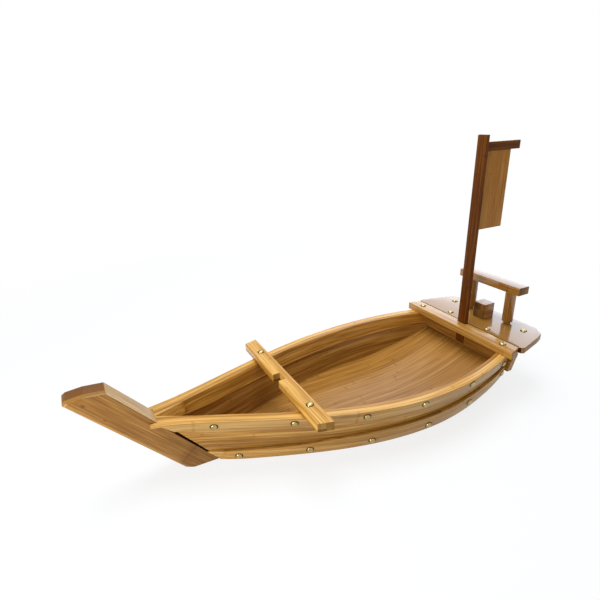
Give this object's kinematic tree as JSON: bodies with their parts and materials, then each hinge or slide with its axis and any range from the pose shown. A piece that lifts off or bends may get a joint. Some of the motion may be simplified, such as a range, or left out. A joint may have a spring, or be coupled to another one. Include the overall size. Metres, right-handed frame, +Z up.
{
  "type": "serving boat",
  "caption": "Bamboo serving boat with a flared planked hull, slanted stem, cross beams, stern deck with a small gate and block, and a lift-out mast with a board sail.",
  "frame": {"origin": "middle of the footprint's bounding box, on the table", "axes": "+X towards the stern, +Y to port, +Z up"},
  "size_m": [0.7074, 0.261, 0.3973],
  "materials": {
    "rails": "glossy clear lacquer on pale bamboo",
    "planks": "glossy clear lacquer on bamboo",
    "strakes": "glossy clear lacquer on bamboo",
    "stem": "glossy clear lacquer on bamboo",
    "deck": "glossy clear lacquer on bamboo",
    "gate": "glossy clear lacquer on darker bamboo",
    "mast": "dark brown stained bamboo, satin lacquer",
    "sail": "thin bamboo board, satin lacquer",
    "nails": "polished domed heads"
  },
  "bodies": {
    "hull": {"deck_front_nail_port": "nails", "deck_front_nail_starboard": "nails", "deck_rear_nail_port": "nails", "deck_rear_nail_starboard": "nails", "floor_board": "planks", "forward_beam": "rails", "forward_beam_nail_port": "nails", "forward_beam_nail_starboard": "nails", "lower_strake_port": "strakes", "lower_strake_starboard": "strakes", "rail_nail_port_1": "nails", "rail_nail_port_2": "nails", "rail_nail_port_3": "nails", "rail_nail_port_4": "nails", "rail_nail_port_5": "nails", "rail_nail_port_6": "nails", "rail_nail_starboard_1": "nails", "rail_nail_starboard_2": "nails", "rail_nail_starboard_3": "nails", "rail_nail_starboard_4": "nails", "rail_nail_starboard_5": "nails", "rail_nail_starboard_6": "nails", "rail_port": "rails", "rail_starboard": "rails", "side_plank_port": "planks", "side_plank_starboard": "planks", "stem": "stem", "stern_beam": "deck", "stern_beam_nail_port": "nails", "stern_beam_nail_starboard": "nails", "stern_block": "gate", "stern_deck": "deck", "stern_ledger": "stem", "strake_nail_port_1": "nails", "strake_nail_port_2": "nails", "strake_nail_port_3": "nails", "strake_nail_port_4": "nails", "strake_nail_port_5": "nails", "strake_nail_port_6": "nails", "strake_nail_starboard_1": "nails", "strake_nail_starboard_2": "nails", "strake_nail_starboard_3": "nails", "strake_nail_starboard_4": "nails", "strake_nail_starboard_5": "nails", "strake_nail_starboard_6": "nails", "transom": "stem"},
    "mast_and_sail": {"mast": "mast", "yard": "mast", "sail": "sail"},
    "stern_gate": {"gate_rail": "gate", "gate_post_port": "gate", "gate_post_starboard": "gate"}
  },
  "joints": [
    {"name": "mast_lift", "type": "slide", "parent": "hull", "child": "mast_and_sail", "axis": [0, 0, 1], "range_m": [0, 0.045]},
    {"name": "gate_lift", "type": "slide", "parent": "hull", "child": "stern_gate", "axis": [0, 0, 1], "range_m": [0, 0.015]}
  ]
}
